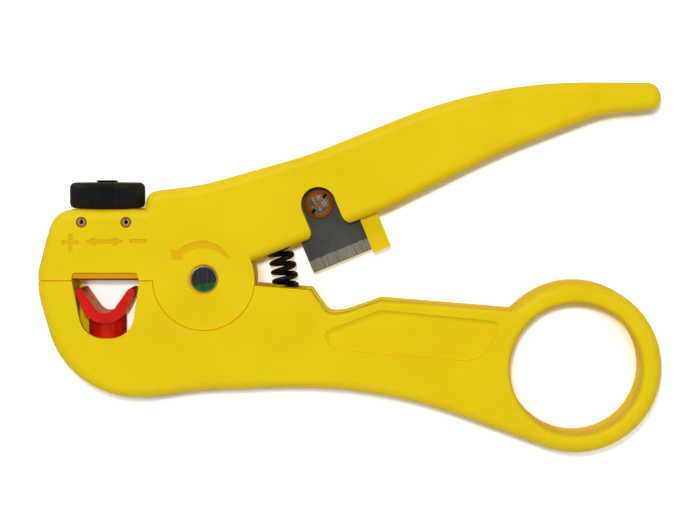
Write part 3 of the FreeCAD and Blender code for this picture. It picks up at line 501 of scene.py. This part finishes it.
def symbolOutlines(look):
    x, y = look["plus"]
    reach, stroke = look["plusReach"], look["stroke"]
    plus = [(x - stroke, y - reach), (x + stroke, y - reach), (x + stroke, y - stroke),
            (x + reach, y - stroke), (x + reach, y + stroke), (x + stroke, y + stroke),
            (x + stroke, y + reach), (x - stroke, y + reach), (x - stroke, y + stroke),
            (x - reach, y + stroke), (x - reach, y - stroke), (x - stroke, y - stroke)]
    left, right, y = look["arrow"]
    head, half, shaft = look["arrowHead"], look["arrowHalf"], look["shaft"]
    arrow = [(left, y), (left + head, y - half), (left + head, y - shaft), (right - head, y - shaft),
             (right - head, y - half), (right, y), (right - head, y + half), (right - head, y + shaft),
             (left + head, y + shaft), (left + head, y + half)]
    left, right, y = look["minus"]
    half = look["minusHalf"]
    minus = [(left, y - half), (right, y - half), (right, y + half), (left, y + half)]
    outer, inner = [sweptArc(look[edge], look["sweepSteps"]) for edge in ("sweepOuter", "sweepInner")]
    innerBarb, tip, outerBarb = look["sweepHead"]
    sweep = [tip, innerBarb, *reversed(inner), *reversed(outer), outerBarb]
    return [plus, arrow, minus, sweep]


def middleOf(node):
    low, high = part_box(node)
    return ((low[0] + high[0]) / 2 / mm, (low[1] + high[1]) / 2 / mm)


pinCentres = [middleOf("knob_pin_left"), middleOf("knob_pin_right")]
shellFinishes = [yellowMoulding, symbolShade, windowShade, pinSinkShade]


def engravedFinish(look, face):
    # Which of the shell's finishes a face takes, by where it lies: the plain face, or the painted shade
    # of symbol floors, window floors and pin sinks
    middle = face.calc_center_median() / mm
    near = look["levelReach"]
    symbolFloor = look["face"] - look["depth"]
    windowFloors = (look["windowDepth"], look["face"] - look["windowDepth"])
    if any(math.hypot(middle.x - x, middle.y - y) < look["sinkReach"] + near for x, y in pinCentres):
        return shellFinishes.index(pinSinkShade)
    if abs(face.normal.z) <= look["flatNormal"]:
        return face.material_index
    if abs(middle.z - symbolFloor) < near:
        return shellFinishes.index(symbolShade)
    if min(abs(middle.z - floor) for floor in windowFloors) < near:
        return shellFinishes.index(windowShade)
    return face.material_index


def upperArmShell(look):
    form = bmesh.new()
    form.from_mesh(nodes["upper_arm"].data)
    plain = finishMesh("upperArmShell", form, [yellowMoulding, symbolShade])
    tools = bmesh.new()
    for outline in symbolOutlines(look):
        prism(tools, outline, look["face"] - look["depth"], look["face"] + toolOver)
    for centre in pinCentres:
        # A round tool with a point every ten degrees
        prism(tools, roundCorner(centre, look["sinkReach"], 0, 350, 35),
              look["face"] - look["sinkDepth"], look["face"] + toolOver)
    cutAway(plain, finishMesh("symbolTool", tools, [symbolShade]))
    form = bmesh.new()
    form.from_mesh(plain.data)
    for face in form.faces:
        face.material_index = engravedFinish(look, face)
    shell = finishMesh("upperArmShell", form, shellFinishes)
    bpy.data.objects.remove(plain)
    shell.modifiers.new("evenShading", "WEIGHTED_NORMAL").keep_sharp = True
    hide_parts("upper_arm")
    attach(shell, "upper")


upperArmShell(armLook)
print("upper arm engraved")


# Ribbed knob

knobPlace = placeAt(knobAlong, 0, midDepth) @ spinBy(-90, "X")

# boreRound is given as outward from the bore and down from the top. The ribs fade into the face over a
# stretch that is given in shares of the corner.
knobLook = {"low": 14.35, "high": 19.65, "radius": 7.75, "corner": 1.15, "cornerSteps": 7,
            "faceInset": 0.6, "wallSteps": (0.3, 0.7),
            "bore": 2.55, "boreRound": [(0.5, 0.0), (0.25, 0.12), (0.0, 0.3)],
            "hub": 4.45, "hubLow": 9.75, "hubChamfer": 0.2,
            "groove": 3.6, "grooveLow": 10.75, "grooveHigh": 12.55,
            "ribs": 96, "ribDepth": 0.17, "ribRound": 0.6, "stepsPerRib": 6, "ribInset": 0.3,
            "fadeFrom": 0.75, "fadeOver": 0.5}


def ribbedKnob(look):
    low, high, radius, corner = look["low"], look["high"], look["radius"], look["corner"]
    hub, chamfer, inset = look["hub"], look["hubChamfer"], look["faceInset"]
    profile = [(look["bore"], look["hubLow"]), (hub - chamfer, look["hubLow"]),
               (hub, look["hubLow"] + chamfer), (hub, look["grooveLow"]),
               (look["groove"], look["grooveLow"]), (look["groove"], look["grooveHigh"]),
               (hub, look["grooveHigh"]), (hub, low), (radius - corner - inset, low)]
    profile += roundCorner((radius - corner, low + corner), corner, -90, 0, look["cornerSteps"])
    profile += [(radius, low + corner + (high - low - 2 * corner) * share) for share in look["wallSteps"]]
    profile += roundCorner((radius - corner, high - corner), corner, 0, 90, look["cornerSteps"])
    profile += [(radius - corner - inset, high)]
    profile += [(look["bore"] + outward, high - drop) for outward, drop in look["boreRound"]]

    def ribbed(reach, height, angle):
        if reach < radius - corner - look["ribInset"] or height < low:
            return reach
        fade = (reach - (radius - look["fadeFrom"] * corner)) / (look["fadeOver"] * corner)
        wave = 0.5 + 0.5 * math.cos(angle * look["ribs"])
        return reach - look["ribDepth"] * min(1.0, max(0.0, fade)) * (1 - wave ** look["ribRound"])

    form = bmesh.new()
    rings = turned(form, profile, look["ribs"] * look["stepsPerRib"], ribbed)
    ringsToFaces(form, rings, closed=True)
    knob = finishMesh("ribbedKnob", form, [blackMoulding], sharpAngle=50, place=knobPlace)
    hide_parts("depth_knob")
    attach(knob, "knob")


ribbedKnob(knobLook)
print("knob ribbed")


# Threaded stud

studLook = {"seat": 5.6, "headHigh": 7.3, "headFlat": 7.0, "headOverlap": 0.2, "plainHigh": 8.3,
            "top": 20.1, "radius": 2.4, "core": 2.02, "pitch": 0.8, "crestSlope": 1.25,
            "endChamfer": 0.15, "steps": 48, "rowsPerTurn": 8}


def threadedStud(look):
    form = bmesh.new()
    corner = look["headFlat"] / 2 / math.cos(math.radians(30))
    hexagon = [onCircle(corner, math.radians(90 + 60 * side)) for side in range(6)]
    prism(form, hexagon, look["seat"], look["headHigh"])
    low, high, core = look["plainHigh"], look["top"], look["core"]
    rows = int((high - low) / look["pitch"] * look["rowsPerTurn"])
    heights = [look["headHigh"] - look["headOverlap"]]
    heights += [low + (high - low) * row / rows for row in range(rows + 1)]
    rings = []
    for height in heights:
        def threadReach(angle):
            phase = (height / look["pitch"] - angle / (2 * math.pi)) % 1.0
            crest = 1 - abs(2 * phase - 1) * look["crestSlope"]
            share = min(1.0, max(0.0, crest)) if height > low else 1.0
            reach = core + (look["radius"] - core) * share
            return min(reach, look["radius"] - look["endChamfer"] + (high - height))
        rings.append(ringAt(form, height, look["steps"], threadReach))
    ringsToFaces(form, rings)
    closeEnds(form, rings)
    stud = finishMesh("threadedStud", form, [springBlack], sharpAngle=40, place=knobPlace)
    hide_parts("adjuster_stud")
    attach(stud, "carriage")


threadedStud(studLook)
print("stud threaded")


# Springs

armCoilLook = {"along": 15.65, "across": 1.55, "tilt": 9.0, "low": -7.0, "high": 7.0,
               "coil": 2.24, "wire": 0.55, "turns": 7.25, "closedTurns": 0.9, "stepsPerTurn": 40,
               "sides": 14, "bendRadius": 32.0, "bendReach": 5.0, "stiffEnd": 1.5}
cradleCoilLook = {"low": -20.2, "high": -10.7, "coil": 2.15, "wire": 0.25, "turns": 8.5,
                  "closedTurns": 1.0, "stepsPerTurn": 32, "sides": 10}
closedGap = 1.03  # distance of closed turns, in wire thicknesses


def coiled(form, look, bend=None):
    # Round wire wound about Z, with its last turns closed up
    rings = []
    steps = int(look["turns"] * look["stepsPerTurn"])
    closed, turns, wire = look["closedTurns"], look["turns"], look["wire"]
    low, high = look["low"] + wire, look["high"] - wire
    tight = 2 * wire * closedGap
    pitch = (high - low - 2 * closed * tight) / (turns - 2 * closed)
    for step in range(steps + 1):
        turn = turns * step / steps
        if turn < closed:
            height = low + tight * turn
        elif turn > turns - closed:
            height = high - tight * (turns - turn)
        else:
            height = low + tight * closed + pitch * (turn - closed)
        outward = Vector((*onCircle(1.0, 2 * math.pi * turn), 0))
        centre = outward * look["coil"] + Vector((0, 0, height))
        ring = []
        for side in range(look["sides"]):
            across, up = onCircle(1.0, 2 * math.pi * side / look["sides"])
            point = centre + (outward * across + Vector((0, 0, up))) * wire
            if bend is not None:
                point = bend(point)
            ring.append(form.verts.new(point * mm))
        rings.append(ring)
    ringsToFaces(form, rings)
    closeEnds(form, rings)


def armCoil(look):
    def bow(point):
        # The coil bows round the pivot, because the arms stand at an angle
        lean = point.z / look["bendRadius"]
        middle = (look["bendReach"] ** 2 - point.z ** 2) / (2 * look["bendRadius"])
        return Vector((middle + point.x * math.cos(lean), point.y, point.z + point.x * math.sin(lean)))

    form = bmesh.new()
    coiled(form, look, bow)
    place = (placeAt(look["along"], look["across"], midDepth) @ spinBy(look["tilt"])
             @ spinBy(-90, "X"))
    spring = finishMesh("armCoil", form, [springBlack], sharpAngle=50, place=place)
    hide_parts("arm_spring")
    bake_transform(spring)


def cradleCoil(look):
    form = bmesh.new()
    coiled(form, look)
    spring = finishMesh("cradleCoil", form, [springBlack], sharpAngle=50, place=knobPlace)
    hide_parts("cradle_spring")
    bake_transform(spring)


armCoil(armCoilLook)
cradleCoil(cradleCoilLook)
print("springs wound")


# Pivot pin

# The green part lies below a line given by its slope and its level at the pin's axis
pinLook = {"radius": 2.8, "low": 0.5, "high": 17.5, "bevel": 0.27, "bevelSteps": 5, "steps": 96,
           "slope": 0.13, "level": -0.96, "lineSoft": 0.08, "bevelSoft": 0.03,
           "dark": paint(34, 34, 34), "darkLight": paint(74, 72, 72),
           "green": paint(28, 88, 44), "greenLight": paint(58, 128, 72),
           "bevelTone": paint(222, 214, 206), "lineWidth": 0.12, "lineLength": 5.0,
           "grainSize": 0.1, "flowSize": 1.2, "metallic": (1.0, 0.5), "roughness": (0.22, 0.4),
           "lineDepth": 0.006}


def pinFinish(look):
    # Dark brushed end face with a green lower part, and a bright turned bevel round it
    material, tree, shader = blankMaterial("pinFinish", Specular_IOR_Level=0.5)
    lines = useGroup(tree, brushLines, Angle=0.0, LineWidth=look["lineWidth"],
                     LineLength=look["lineLength"])
    grain = useGroup(tree, mouldGrain, GrainSize=look["grainSize"], FlowSize=look["flowSize"])
    x, y, z = partAxes(tree)
    squares = [calc(tree, "MULTIPLY", along, along) for along in (x, y)]
    reach = calc(tree, "SQRT", calc(tree, "ADD", *squares))
    faceRadius = look["radius"] - look["bevel"]
    face = ramp(tree, reach, faceRadius + look["bevelSoft"], faceRadius - look["bevelSoft"])
    line = calc(tree, "ADD", calc(tree, "MULTIPLY", x, look["slope"]), look["level"])
    below = ramp(tree, calc(tree, "SUBTRACT", y, line), look["lineSoft"], -look["lineSoft"])
    green = calc(tree, "MULTIPLY", below, calc(tree, "GREATER_THAN", z, midDepth))
    dark = mixColour(tree, lines["Lines"], look["dark"], look["darkLight"])
    tinted = mixColour(tree, grain["Flow"], look["green"], look["greenLight"])
    colour = mixColour(tree, green, dark, tinted)
    tree.links.new(mixColour(tree, face, look["bevelTone"], colour), shader.inputs["Base Color"])
    tree.links.new(ramp(tree, face, 0, 1, *look["metallic"]), shader.inputs["Metallic"])
    tree.links.new(ramp(tree, lines["Lines"], 0, 1, *look["roughness"]), shader.inputs["Roughness"])
    bumpFrom(tree, shader, lines["Lines"], look["lineDepth"])
    return material


def pivotStud(look):
    radius, low, high, bevel = look["radius"], look["low"], look["high"], look["bevel"]
    profile = [(0.0, low), (radius - bevel, low)]
    profile += roundCorner((radius - bevel, low + bevel), bevel, -90, 0, look["bevelSteps"])[1:]
    profile += roundCorner((radius - bevel, high - bevel), bevel, 0, 90, look["bevelSteps"])
    profile += [(0.0, high)]
    form = bmesh.new()
    ringsToFaces(form, turned(form, profile, look["steps"]))
    pin = finishMesh("pivotStud", form, [pinFinish(look)], sharpAngle=35)
    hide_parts("pivot_pin")
    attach(pin, "lower")


pivotStud(pinLook)
print("pivot pin turned")


# Cutter screw

# The head's mottled dark and bright patches are painted reflections in the chrome
headLook = dict(steelLook, tone=paint(255, 253, 246), deepTone=paint(108, 102, 92),
                wornTone=paint(250, 250, 250), flowSize=0.7, lineWidth=0.7, angle=40.0,
                roughness=(0.16, 0.3), wearReach=0.06, metallic=0.6)
# The head's rim is painted orange-brown: a painted reflection of the yellow arm round it
rimReflectionLook = dict(steelLook, tone=paint(206, 128, 30), deepTone=paint(160, 88, 14),
               wornTone=paint(226, 160, 70), roughness=(0.24, 0.38), metallic=0.35)
# The slot ends are painted near black: painted shade
slotLook = dict(springLook, tone=paint(22, 20, 18), deepTone=paint(8, 7, 6))
# The cross is painted gold: a painted reflection of the yellow arm in the chrome
crossReflectionLook = dict(steelLook, tone=paint(226, 176, 84), deepTone=paint(172, 118, 40),
                 wornTone=paint(246, 222, 160), roughness=(0.2, 0.34), metallic=0.6)

headSteel = plainMetal("headSteel", headLook)
rimReflection = plainMetal("rimReflection", rimReflectionLook)
slotShade = plainMetal("slotShade", slotLook)
crossReflection = plainMetal("crossReflection", crossReflectionLook)
screwFinishes = [headSteel, rimReflection, slotShade, crossReflection]

# Each edge is given as its size along the radius and its size in height
screwLook = {"seat": 0.42, "head": 2.9, "crown": 1.9, "flat": 1.95, "shank": 1.5, "tip": -5.25,
             "tipChamfer": 0.3, "seatEdge": (0.1, 0.12), "rimLow": 0.2, "rimTop": 0.75,
             "rimEdge": (0.08, 0.6), "flatEdge": (0.12, 0.06), "coneFoot": 1.5, "coneDepth": 0.5,
             "domeFoot": 1.36, "domeDrop": 0.3, "domeSteps": (0.92, 0.8, 0.62, 0.42, 0.2, 0.0),
             "slotAngle": 31.7, "slotHalf": 0.33, "slotFrom": 1.4, "slotTo": 2.45, "slotDepth": 0.9,
             "crossReach": 1.05, "crossHalf": 0.3, "crossDepth": 0.56, "steps": 96}


def cutterHead(look):
    seat, head, flat, shank = look["seat"], look["head"], look["flat"], look["shank"]
    tip, chamfer, top = look["tip"], look["tipChamfer"], look["seat"] + look["crown"]
    foot, dome = top - look["coneDepth"], look["domeFoot"]
    seatEdge, rimEdge, flatEdge = look["seatEdge"], look["rimEdge"], look["flatEdge"]
    profile = [(0.0, tip), (shank - chamfer, tip), (shank, tip + chamfer), (shank, seat),
               (head - seatEdge[0], seat), (head, seat + seatEdge[1]), (head, top - look["rimTop"]),
               (head - rimEdge[0], top - rimEdge[1]), (flat + flatEdge[0], top - flatEdge[1]),
               (flat, top), (look["coneFoot"], foot), (dome, foot)]
    profile += [(dome * share, foot + (look["coneDepth"] - look["domeDrop"]) * (1 - share ** 2))
                for share in look["domeSteps"]]
    form = bmesh.new()
    ringsToFaces(form, turned(form, profile, look["steps"]))
    # Faces of the rim take the painted reflection of the yellow arm
    for face in form.faces:
        centre = face.calc_center_median() / mm
        if centre.z > seat + look["rimLow"] and math.hypot(centre.x, centre.y) > flat:
            face.material_index = screwFinishes.index(rimReflection)
    place = (placeAt(cutterPlace["along"], cutterPlace["across"], midDepth)
             @ spinBy(cutterPlace["angle"]))
    screw = finishMesh("cutterHead", form, screwFinishes, sharpAngle=30, place=place)
    # A slot at each side of the domed middle, near black as painted shade, and a cross in it, gold as a
    # painted reflection of the yellow arm
    slot = (slotShade, look["slotFrom"], look["slotTo"], look["slotHalf"], look["slotDepth"])
    cross = (crossReflection, -look["crossReach"], look["crossReach"], look["crossHalf"], look["crossDepth"])
    for turn, (shade, left, right, half, depth) in ((0, slot), (180, slot), (0, cross), (90, cross)):
        tool = bmesh.new()
        outline = [(left, -half), (right, -half), (right, half), (left, half)]
        prism(tool, outline, top - depth, top + toolOver)
        for face in tool.faces:
            face.material_index = screwFinishes.index(shade)
        spun = place @ spinBy(look["slotAngle"] + turn)
        cutAway(screw, finishMesh("slotTool", tool, screwFinishes, sharpAngle=30, place=spun))
    form = bmesh.new()
    form.from_mesh(screw.data)
    bpy.data.objects.remove(screw)
    screw = finishMesh("cutterHead", form, screwFinishes, sharpAngle=30)
    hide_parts("cutter_screw")
    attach(screw, "upper")


cutterHead(screwLook)
print("cutter screw cut")


# Finishes of the CAD nodes, also of those that a finer piece replaces

nodeFinishes = {
    "lower_arm": yellowMoulding, "knob_insert": insertBrass, "knob_pin_left": rolledSteel,
    "knob_pin_right": rolledSteel, "blade_carrier": carrierMoulding, "strip_blade": stripSteel,
    "blade_clamp": brightSteel, "clamp_screw_left": brightSteel, "clamp_screw_right": brightSteel,
    "cradle": redMoulding, "cutter_blade": cutterSteel, "cutter_nut": insertBrass,
    "upper_arm": yellowMoulding, "depth_knob": blackMoulding, "adjuster_stud": springBlack,
    "arm_spring": springBlack, "cradle_spring": springBlack, "pivot_pin": brightSteel,
    "cutter_screw": headSteel}
for name, finish in nodeFinishes.items():
    for slot in nodes[name].material_slots:
        slot.material = finish
print("finishes laid on")


# Floor

# half is in metres. The floor glows for the camera alone. Its light on the side walls and its tone in
# reflections are values of their own, so the walls keep their colour.
floorLook = {"half": 1.2, "level": -0.15, "tone": paint(240, 240, 240), "paleTone": paint(248, 248, 249),
             "grainSize": 1.5, "flowSize": 60.0, "grainDepth": 0.01, "glow": 0.42, "upward": 0.85,
             "shadeFrom": (-0.15, 0.82, 0.55), "shadeReach": 2.7, "shadeOpen": 0.95, "shadeShut": 0.68,
             "mirrored": paint(228, 182, 122)}


def studioFloor(look):
    material, tree, shader = blankMaterial("paleFloor", Specular_IOR_Level=0.1, Roughness=0.9,
                                           Emission_Strength=look["glow"])
    grain = useGroup(tree, mouldGrain, GrainSize=look["grainSize"], FlowSize=look["flowSize"])
    rays = addNode(tree, "ShaderNodeLightPath").outputs
    tone = mixColour(tree, grain["Flow"], look["tone"], look["paleTone"])
    tree.links.new(mixColour(tree, rays["Is Glossy Ray"], tone, look["mirrored"]),
                   shader.inputs["Base Color"])
    # The glow fades close below whatever stands on the floor, which deepens the drop shadow
    side = addNode(tree, "ShaderNodeCombineXYZ", dict(enumerate(look["shadeFrom"]))).outputs[0]
    openness = addNode(tree, "ShaderNodeAmbientOcclusion",
                       {"Distance": look["shadeReach"] * mm, "Normal": side}, samples=8).outputs["AO"]
    glow = calc(tree, "MULTIPLY", ramp(tree, openness, look["shadeShut"], look["shadeOpen"]),
                rays["Is Camera Ray"])
    upward = calc(tree, "MULTIPLY", rays["Is Diffuse Ray"], look["upward"])
    tree.links.new(mixColour(tree, calc(tree, "ADD", glow, upward), black, white),
                   shader.inputs["Emission Color"])
    bumpFrom(tree, shader, grain["Grain"], look["grainDepth"])
    half, level = look["half"], look["level"] * mm
    mesh = bpy.data.meshes.new("studioFloor")
    corners = [(-half, -half, level), (half, -half, level), (half, half, level), (-half, half, level)]
    mesh.from_pydata(corners, [], [(0, 1, 2, 3)])
    mesh.materials.append(material)
    floor = bpy.data.objects.new("studioFloor", mesh)
    bpy.context.scene.collection.objects.link(floor)


studioFloor(floorLook)


# Lights, in metres and watts; the small one throws the drop shadow and shows in no reflection

lightAim = Vector((0.03, 0.0, 0.0))
lightLooks = {
    "keyLight": {"place": (-0.30, 0.45, 0.60), "size": 0.40, "watts": 1.65},
    "fillLight": {"place": (0.55, 0.10, 0.55), "size": 0.50, "watts": 0.45},
    "frontLight": {"place": (0.0, -0.55, 0.50), "size": 0.50, "watts": 0.3},
    "shadowLight": {"place": (0.026, 0.066, 0.63), "size": 0.03, "watts": 2.1, "shines": False}}
airLight = 0.22


def softLight(name, place, size, watts, shines=True):
    light = bpy.data.lights.new(name, "AREA")
    light.shape = "DISK"
    light.size = size
    light.energy = watts
    lamp = bpy.data.objects.new(name, light)
    lamp.visible_glossy = shines
    lamp.location = place
    lamp.rotation_euler = (lightAim - Vector(place)).to_track_quat("-Z", "Y").to_euler()
    bpy.context.scene.collection.objects.link(lamp)


for name, look in lightLooks.items():
    softLight(name, **look)

world = bpy.data.worlds.new("studioAir")
world.use_nodes = True
world.node_tree.nodes["Background"].inputs[0].default_value = white
world.node_tree.nodes["Background"].inputs[1].default_value = airLight
bpy.context.scene.world = world
bpy.context.scene.view_settings.view_transform = "Standard"


# Camera, in metres

cameraLook = {"place": (0.038, 0.027, 0.628), "aim": (0.0298, 0.00297, 0.018), "lens": 154.39,
              "sensor": 36.0, "nearest": 0.01}


def studioCamera(look):
    camera = bpy.data.objects.new("studioCamera", bpy.data.cameras.new("studioCamera"))
    camera.data.lens = look["lens"]
    camera.data.sensor_width = look["sensor"]
    camera.data.clip_start = look["nearest"]
    place = Vector(look["place"])
    back = (place - Vector(look["aim"])).normalized()
    right = Vector((0, 1, 0)).cross(back).normalized()
    turn = Matrix((right, back.cross(right), back)).transposed()
    camera.matrix_world = Matrix.Translation(place) @ turn.to_4x4()
    bpy.context.scene.collection.objects.link(camera)
    bpy.context.scene.camera = camera


studioCamera(cameraLook)
print("studio lit")
